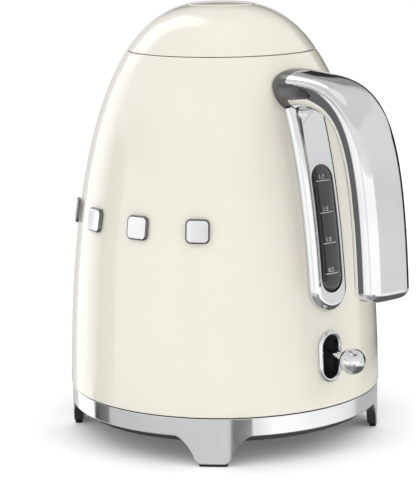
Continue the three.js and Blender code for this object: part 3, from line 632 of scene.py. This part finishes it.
def cover_section():
    """The cover's section: the handle's finger side, just inside its surface, with a flat back."""
    half = CHANNEL_HALF_WIDTH - COVER_GAP
    face = []
    for across in half * np.sin(np.linspace(-math.pi / 2, math.pi / 2, 40)):
        depth = (1 - abs(across / HANDLE_HALF_WIDTH) ** HANDLE_ROUNDNESS) ** (1 / HANDLE_ROUNDNESS)
        face.append((across, COVER_SINK - HANDLE_HALF_DEPTH * depth))
    return face + [(half, COVER_BACK), (-half, COVER_BACK)]


def paint_root_reflection(shell, count):
    """Gives the faces at the body a painted dark reflection in dark satin metal, which reaches further out at
    the two sides.
    """

    def at_root(face):
        ring, place_in_ring = divmod(face.index, count)
        sideways = abs(math.cos(2 * math.pi * (place_in_ring + 1) / count))
        extra = max(0.0, (sideways - SHADED_SIDE_START) / SHADED_SIDE_SPAN)
        return ring < SHADED_RINGS + SHADED_SIDE_RINGS * extra

    second_material(shell, PAINTED_REFLECTION_CHROME, at_root)


def root_rings(rows=40):
    """The flare of the handle at the body: from an oval on the dome to the first square section."""
    start_pull, end_pull = 4.0, 24.0
    oval = superellipse(ROOT_HALF_WIDTH, ROOT_HALF_HEIGHT, ROOT_ROUNDNESS)
    ends = across_handle(GRIP_START, handle_section())
    tx, tz = handle_axis(GRIP_START, TANGENT)
    along = np.array((tx, 0, tz))
    rings = [[] for _ in range(rows + 2)]
    for (ay, az), end in zip(oval, ends):
        rings[0].append(on_dome(ay * 0.97, ROOT_Z + az * 0.97, 0.35))
        rings[1].append(on_dome(ay, ROOT_Z + az, 0.8))
        foot = np.array(on_dome(ay, ROOT_Z + az, 0.9))
        start = np.array(on_dome(ay * 0.985, ROOT_Z + az * 0.985, 2.4))
        normal = np.array(on_dome(ay, ROOT_Z + az, 1.9)) - foot
        for k in range(rows):
            t = k / rows
            point = (2 * t**3 - 3 * t**2 + 1) * start + (t**3 - 2 * t**2 + t) * start_pull * normal
            point = point + (-2 * t**3 + 3 * t**2) * np.array(end) + (t**3 - t**2) * end_pull * along
            rings[k + 2].append(tuple(point))
    return rings


def handle():
    """The chrome grip, from its flare on the dome to its rounded free end, and its inner cover."""
    step, grip_rings = 0.02, 70
    bottom = HANDLE_LENGTH - CHANNEL_END
    grip = np.linspace(CHANNEL_START, bottom, grip_rings)
    rings = root_rings()
    rings += [across_handle(d, handle_section()) for d in (GRIP_START, CHANNEL_START - step)]
    rings += [across_handle(d, channelled_section()) for d in grip]
    rings.append(across_handle(bottom + step, handle_section()))
    for angle in np.linspace(0, math.pi / 2, 9):
        inset = HANDLE_END_ROUND * (1 - math.cos(angle))
        distance = HANDLE_LENGTH - HANDLE_END_LIFT - HANDLE_END_ROUND * (1 - math.sin(angle))
        rings.append(across_handle(distance, handle_section(inset)))
    shell = skin("handle_outer_shell", rings)
    finish_piece(shell, "kettle", "chrome", CHROME, "handle_shell", angle=38)
    # The faces at the root get a painted dark reflection.
    paint_root_reflection(shell, len(handle_section()))
    strip = np.linspace(CHANNEL_START + 0.4, bottom - 0.3, grip_rings)
    cover = skin("handle_inner_cover", [across_handle(d, cover_section()) for d in strip])
    finish_piece(cover, "kettle", "chrome", CHROME, "handle_cover", angle=38)


# ------------------------------------------------------------------------------------ gauge

GAUGE_HALF_WIDTH, GAUGE_BOTTOM, GAUGE_TOP = 12.75, 82.0, 192.6
WINDOW_HALF_WIDTH, WINDOW_LOW, WINDOW_HIGH = 7.6, 93.3, 162.7
BEZEL_PROFILE = [(0.0, 0.35), (0.05, 1.1), (0.3, 2.0), (0.75, 2.85), (1.35, 3.6), (2.1, 4.25), (3.0, 4.8),
                 (3.9, 5.1), (4.8, 5.2), (6.5, 5.0), (9.0, 4.8), (GAUGE_HALF_WIDTH, 4.75)]


def bezel_row(inset, height):
    """A U-shaped row of the bezel: down its left side, round its end and up its right side."""
    half = GAUGE_HALF_WIDTH - inset
    middle = GAUGE_BOTTOM + GAUGE_HALF_WIDTH
    left = [(-half, z) for z in np.linspace(GAUGE_TOP, middle, 46)[:-1]]
    end = [(half * math.cos(a), middle + half * math.sin(a)) for a in np.linspace(math.pi, 2 * math.pi, 37)]
    right = [(-y, z) for y, z in left[::-1]]
    return [on_dome(y, z, height) for y, z in left + end + right]


def gauge_bezel():
    """The chrome strip round the gauge, with an opening for the window."""
    gap = 0.3
    under = [(inset, 0.35) for inset in (GAUGE_HALF_WIDTH, 8.0, 4.0)]
    rows = [bezel_row(inset, height) for inset, height in under + BEZEL_PROFILE]
    count = len(rows[0])
    points = [p for row in rows for p in row]
    faces = [(r * count + i, r * count + i + 1, (r + 1) * count + i + 1, (r + 1) * count + i)
             for r in range(len(rows) - 1) for i in range(count - 1)]
    left_end = [r * count for r in range(len(rows))]
    right_end = [r * count + count - 1 for r in range(len(rows))]
    faces.append(tuple(left_end + right_end[::-1][1:-1]))
    bezel = mesh_object("gauge_strip", points, faces)
    opening = slot_prism(WINDOW_HALF_WIDTH + gap, WINDOW_LOW - gap, WINDOW_HIGH + gap, 50, 120)
    combine(bezel, opening, "DIFFERENCE")
    finish_piece(bezel, "kettle", "chrome", CHROME, "gauge_bezel", angle=38, flat=False)


def slot_rows(half_width, low, high, profile):
    """Rows of an upright long hole that hug the dome: each (inset, height) is one row."""
    end_steps, side_points = 24, 16
    rows = []
    for inset, height in profile:
        half = max(half_width - inset, 0.02)
        points = []
        for start, centre in ((math.pi, low + half_width), (0.0, high - half_width)):
            for k in range(end_steps + 1):
                angle = start + math.pi * k / end_steps
                points.append((half * math.cos(angle), centre + half * math.sin(angle)))
            side = half if start else -half
            far = high - half_width if start else low + half_width
            points += [(side, z) for z in np.linspace(centre, far, side_points)[1:-1]]
        rows.append([on_dome(y, z, height) for y, z in points])
    return rows


def gauge_window():
    """The dark window, crowned over its face."""
    profile = [(7.6, 1.5), (4.0, 1.5), (0.0, 1.5), (0.0, 3.9), (0.2, 4.2), (0.7, 4.45), (1.5, 4.7),
               (2.6, 4.9), (4.0, 5.05), (5.6, 5.15), (7.6, 5.2)]
    rows = slot_rows(WINDOW_HALF_WIDTH, WINDOW_LOW, WINDOW_HIGH, profile)
    finish_piece(skin("gauge_glass", rows), "kettle", "smoked_gauge", WINDOW, "gauge_window")


def printed(name, objects):
    """Joins small printed marks into one piece that rides on the kettle."""
    work = bmesh.new()
    for obj in objects:
        obj.data.transform(obj.matrix_world)
        work.from_mesh(obj.data)
        bpy.data.objects.remove(obj)
    mesh = bpy.data.meshes.new(name)
    work.to_mesh(mesh)
    work.free()
    piece = bpy.data.objects.new(name, mesh)
    bpy.context.scene.collection.objects.link(piece)
    mesh.materials.append(PRINT)
    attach(piece, "kettle")


LEVEL_MARKS = (("1.7", 153.0), ("1.5", 136.0), ("1.0", 119.5), ("0.5", 103.0))
PRINT_HEIGHT = 5.28


def level_line(z):
    """A thin line across the window that follows its crown."""
    half_length, width, depth = 4.4, 0.36, 0.2
    rows = []
    for y in np.linspace(-half_length, half_length, 13):
        out = PRINT_HEIGHT - 0.006 * y * y
        rows.append([on_dome(y, z, out), on_dome(y, z + width, out), on_dome(y, z + width, out - depth),
                     on_dome(y, z, out - depth)])
    return skin("line", rows)


def level_number(label, z):
    """A number that stands on its line and lies flat on the window."""
    size, thickness, left, lift, sink = 3.4, 0.05, -2.6, 1.1, 0.05
    text = bpy.data.curves.new("number", "FONT")
    text.body, text.size, text.extrude = label, size * MM, thickness * MM
    obj = bpy.data.objects.new("number", text)
    bpy.context.scene.collection.objects.link(obj)
    mesh = applied_mesh(obj)
    bpy.data.objects.remove(obj)
    number = bpy.data.objects.new("number", mesh)
    bpy.context.scene.collection.objects.link(number)
    lean = dome_lean(z)
    up = Vector((-math.sin(lean), 0, math.cos(lean)))
    out = Vector((math.cos(lean), 0, math.sin(lean)))
    turn = Matrix((Vector((0, 1, 0)), up, out)).transposed().to_4x4()
    number.matrix_world = Matrix.Translation(place(*on_dome(left, z + lift, PRINT_HEIGHT - sink))) @ turn
    return number


def level_marks():
    """The four filling lines and their numbers, printed on the window."""
    lines = [level_line(z) for _, z in LEVEL_MARKS]
    numbers = [level_number(label, z) for label, z in LEVEL_MARKS]
    bpy.context.view_layer.update()
    printed("level_lines", lines)
    printed("level_numbers", numbers)


# ------------------------------------------------------------------------------------ lever and badges

LEVER_PIVOT, LEVER_BALL, BALL_RADIUS = np.array((68.0, 61.0)), np.array((107.2, 57.0)), 7.25


def lever_bezel():
    """The rounded chrome ring in the lever's slot."""
    profile = [(0.0, 0.35), (0.0, 0.9), (0.25, 1.5), (0.7, 2.0), (1.2, 2.2), (1.7, 2.0), (2.15, 1.5),
               (2.4, 0.9), (2.4, -2.4), (1.3, -2.4), (1.2, 0.35)]
    rows = slot_rows(8.25, 42.1, 70.9, profile)
    ring = skin("lever_slot_ring", rows, closed_rows=True, caps=False)
    finish_piece(ring, "kettle", "chrome", CHROME, "lever_bezel", angle=60)


def about_lever(name, profile, segments=72):
    """A profile of (distance from the pivot, radius) turned about the lever's own line."""
    line = LEVER_BALL - LEVER_PIVOT
    along = line / np.linalg.norm(line)
    across = np.array((-along[1], along[0]))
    rings = []
    for k in range(segments):
        c, s = math.cos(2 * math.pi * k / segments), math.sin(2 * math.pi * k / segments)
        ring = []
        for distance, radius in profile:
            x, z = LEVER_PIVOT + along * distance + across * radius * c
            ring.append((x, radius * s, z))
        rings.append(ring)
    return skin(name, rings, closed_ring=False, closed_rows=True, caps=False)


def lever():
    """The lever's stem, with the collar that the ball sits in, and the ball."""
    reach = float(np.linalg.norm(LEVER_BALL - LEVER_PIVOT))
    stem_corners = [(4.3, 0, 0), (4.3, 2.25, 0.3), (24, 1.95, 0), (reach - 9.6, 1.75, 0),
                    (reach - 9.3, 2.5, 0.3), (reach - 6.7, 2.5, 0.3), (reach - 6.4, 1.7, 0),
                    (reach - 2, 1.6, 0.3), (reach - 2, 0, 0)]
    stem = about_lever("lever_stem", rounded(stem_corners, 3))
    finish_piece(stem, "lever", "chrome", CHROME)
    seat = 2.7
    start = math.asin(seat / BALL_RADIUS)
    ball = [(reach - BALL_RADIUS * math.cos(start), 0)]
    for angle in np.linspace(start, math.pi, 48):
        ball.append((reach - BALL_RADIUS * math.cos(angle), BALL_RADIUS * math.sin(angle)))
    finish_piece(about_lever("lever_knob", ball, 96), "lever", "chrome", CHROME, "lever_ball")


def badges():
    """Four chrome studs on the body's side, with a painted dark reflection as an outline round their edges.
    """
    size, corner, z = 6.7, 3.0, 130.2
    painted_outline_rows = 4
    first, apart, gap = 50, 24.3, 0.45
    profile = [(0, 0), (0, 1.0), (0.12, 1.4), (0.4, 1.7), (0.9, 1.8), (1.6, 1.78), (3.0, 1.7),
               (size - 0.01, 1.65)]
    lean = dome_lean(z)
    for index in range(4):
        angle = -math.radians(first + apart * index)
        rows = []
        for inset, height in profile:
            half = size - inset
            turn = max(corner - inset, 0.0)
            square = rounded([(half * i, half * j, turn) for i, j in ((1, -1), (1, 1), (-1, 1), (-1, -1))], 7)
            if len(square) < 8:
                square = [(x, y) for x, y in square for _ in range(8)]
            row = []
            for across, up in square:
                out = dome_radius(z) + gap + height * math.cos(lean) - up * math.sin(lean)
                x = out * math.cos(angle) - across * math.sin(angle)
                y = out * math.sin(angle) + across * math.cos(angle)
                row.append((x, y, z + up * math.cos(lean) + height * math.sin(lean)))
            rows.append(row)
        stud = skin(f"badge_stud_{index + 1}", rows)
        finish_piece(stud, "kettle", "chrome", CHROME, f"badge_{index + 1}", angle=50)
        painted_outline_faces = len(rows[0]) * painted_outline_rows
        # The edge rows of each stud get the dark metal: a painted dark reflection that outlines the stud.
        second_material(stud, PAINTED_REFLECTION_CHROME, lambda face: face.index < painted_outline_faces)


# ------------------------------------------------------------------------------------ carried-over pieces


def carried_over():
    """The CAD pieces that keep their own shape: their slot's material and smooth rounds, with edges sharper
    than 32 degrees kept sharp.
    """
    slots = {row["node"]: row["material_slot"] for row in frame["record"]["subparts"]}
    for name, obj in frame["nodes"].items():
        obj.data.materials.clear()
        obj.data.materials.append(SLOT_MATERIALS[slots[name]])
        smooth(obj, 32)
    frame["nodes"]["lever_housing"].data.materials[0] = GREY


# ------------------------------------------------------------------------------------ stage


# What mirroring surfaces see of the studio: its brightness at angles in degrees round the object, from
# the camera's side towards the camera's right. Each tier above the near floor also has the two
# heights, in degrees from the horizon, between which it takes over. The values were tuned
# until the chrome looked as it does in the photograph.
NEAR_FLOOR_BANDS = [(-180, 0.55), (-94, 0.7), (-60, 0.3), (0, 0.35), (60, 0.12), (150, 0.12), (180, 0.5)]
RING_BANDS = [(-180, 0.5), (-146, 0.72), (-144, 1.4), (-116, 1.4), (-114, 0.05), (-98, 0.24), (-96, 0.6),
              (3, 0.7), (5, 0.16), (19, 0.28), (21, 0.85), (36, 1.15), (80, 1.05), (112, 0.8),
              (116, 0.55), (180, 0.5)]
HORIZON_BANDS = [(-180, 0.7), (-147, 0.66), (-143, 1.6), (-122, 1.4), (-117, 0.9), (-112, 0.8), (-109, 0.13),
                 (-91, 0.15), (-88, 1.0), (-38, 1.15), (-24, 0.85), (-10, 1.15), (56, 1.15), (60, 0.78),
                 (118, 0.74), (123, 0.02), (167, 0.02), (171, 0.7), (180, 0.7)]
ROOM_BANDS = [(-180, 0.03), (-172, 0.03), (-164, 0.6), (-149, 0.72), (-145, 1.6), (-122, 1.4), (-116, 0.9),
              (-102, 0.8), (-94, 0.5), (-72, 0.5), (-50, 0.8), (30, 0.9), (60, 0.8), (138, 0.76), (143, 0.02),
              (180, 0.03)]
UPPER_BANDS = [(-180, 0.35), (-162, 0.6), (-153, 0.8), (-149, 2.0), (-127, 1.9), (-121, 0.85), (0, 0.85),
               (138, 0.76), (160, 0.3), (180, 0.35)]
CEILING_BANDS = [(-180, 0.6), (-160, 0.7), (-155, 2.0), (-131, 2.0), (-125, 0.7), (0, 0.7), (140, 0.7),
                 (180, 0.6)]
STUDIO_TIERS = ((-34, -22, RING_BANDS), (-14.5, -13.5, HORIZON_BANDS), (10, 13, ROOM_BANDS),
                (19, 26, UPPER_BANDS), (36, 42, CEILING_BANDS))


def environment():
    """The studio: plain white to the camera, an even glow to the paint, and bands to mirroring surfaces."""
    world = bpy.data.worlds.new("studio")
    bpy.context.scene.world = world
    world.use_nodes = True
    nodes, links = world.node_tree.nodes, world.node_tree.links
    nodes.clear()
    coordinates = nodes.new("ShaderNodeTexCoord").outputs["Generated"]

    def dot(direction):
        node = nodes.new("ShaderNodeVectorMath")
        node.operation = "DOT_PRODUCT"
        links.new(coordinates, node.inputs[0])
        node.inputs[1].default_value = direction
        return node.outputs["Value"]

    def feed(socket, value):
        if isinstance(value, (float, tuple)):
            socket.default_value = value
        else:
            links.new(value, socket)

    def math_node(operation, *values):
        node = nodes.new("ShaderNodeMath")
        node.operation = operation
        for socket, value in zip(node.inputs, values):
            feed(socket, value)
        return node.outputs["Value"]

    def bands(factor, stops):
        """A ramp of (degrees, brightness) stops over a factor that runs from -180 to 180 degrees."""
        ramp = nodes.new("ShaderNodeValToRGB")
        elements = ramp.color_ramp.elements
        elements[0].position = 0.0
        elements[1].position = 1.0
        for degrees, _ in stops[1:-1]:
            elements.new(0.5 + degrees / 360)
        for element, (_, value) in zip(sorted(elements, key=lambda e: e.position), stops):
            element.color = (value, value, value, 1)
        links.new(factor, ramp.inputs["Fac"])
        return ramp.outputs["Color"]

    def mix(factor, a, b):
        node = nodes.new("ShaderNodeMix")
        node.data_type = "RGBA"
        for socket, value in (("Factor", factor), ("A", a), ("B", b)):
            feed(node.inputs[socket], value)
        return node.outputs["Result"]

    def step(value, low, high):
        node = nodes.new("ShaderNodeMapRange")
        node.interpolation_type = "SMOOTHSTEP"
        links.new(value, node.inputs["Value"])
        node.inputs["From Min"].default_value, node.inputs["From Max"].default_value = low, high
        return node.outputs["Result"]

    angle = math_node("ARCTAN2", dot(CAMERA_SIDE), dot(TOWARDS_CAMERA))
    around = math_node("MULTIPLY_ADD", angle, 1 / (2 * math.pi), 0.5)
    height = dot((0, 0, 1))
    mirrored = bands(around, NEAR_FLOOR_BANDS)
    for low, high, stops in STUDIO_TIERS:
        rise = step(height, math.sin(math.radians(low)), math.sin(math.radians(high)))
        mirrored = mix(rise, mirrored, bands(around, stops))
    mirrored = mix(step(height, 0.93, 0.96), mirrored, (0.9, 0.9, 0.9, 1))
    glow = mix(step(height, -0.3, 0.9), (0.98, 0.98, 0.99, 1), (0.95, 0.95, 0.96, 1))

    def background(colour, strength):
        node = nodes.new("ShaderNodeBackground")
        node.inputs["Strength"].default_value = strength
        feed(node.inputs["Color"], colour)
        return node.outputs["Background"]

    path = nodes.new("ShaderNodeLightPath")
    inner = nodes.new("ShaderNodeMixShader")
    links.new(path.outputs["Is Glossy Ray"], inner.inputs["Fac"])
    links.new(background(glow, 1.0), inner.inputs[1])
    links.new(background(mirrored, 1.0), inner.inputs[2])
    outer = nodes.new("ShaderNodeMixShader")
    links.new(path.outputs["Is Camera Ray"], outer.inputs["Fac"])
    links.new(inner.outputs["Shader"], outer.inputs[1])
    links.new(background((1.0, 1.0, 1.0, 1), 1.05), outer.inputs[2])
    output = nodes.new("ShaderNodeOutputWorld")
    links.new(outer.outputs["Shader"], output.inputs["Surface"])


def floor():
    """A plain pale floor, which the chrome doesn't mirror."""
    size = 8.0
    mesh = bpy.data.meshes.new("floor")
    corners = [(-size, -size, 0), (size, -size, 0), (size, size, 0), (-size, size, 0)]
    mesh.from_pydata(corners, [], [(0, 1, 2, 3)])
    obj = bpy.data.objects.new("floor", mesh)
    bpy.context.scene.collection.objects.link(obj)
    shader = Shader("floor_paper", Roughness=0.9, Emission_Strength=0.1)
    shader.base.inputs["Emission Color"].default_value = (1, 1, 1, 1)
    shader.base.inputs["Specular IOR Level"].default_value = 0.0
    shader.tint(shader.noise(2.0), (0.965, 0.965, 0.967), (0.975, 0.975, 0.977))
    mesh.materials.append(shader.material)
    obj.visible_glossy = False


def soft_light(name, side, power, colour):
    """A square card beside the camera that lights the paint but isn't mirrored in the chrome."""
    size, distance, height, aim_height = 1.2, 0.9, 1.7, 0.12
    data = bpy.data.lights.new(name, "AREA")
    data.shape, data.size, data.size_y, data.energy = "RECTANGLE", size, size, power
    data.color = colour
    light = bpy.data.objects.new(name, data)
    bpy.context.scene.collection.objects.link(light)
    where = TOWARDS_CAMERA * distance + CAMERA_SIDE * side + Vector((0, 0, height))
    light.location = where
    light.rotation_euler = (Vector((0, 0, aim_height)) - where).to_track_quat("-Z", "Y").to_euler()
    light.visible_glossy = False


bpy.context.scene.view_settings.view_transform = "Standard"
environment()
floor()
soft_light("key", -1.1, 6.0, (1.0, 1.0, 1.0))
soft_light("fill", 1.6, 8.5, (1.0, 0.93, 0.82))
carried_over()
body()
lid()
push_button()
cap_spring()
base_ring()
handle()
gauge_bezel()
gauge_window()
level_marks()
lever_bezel()
lever()
badges()
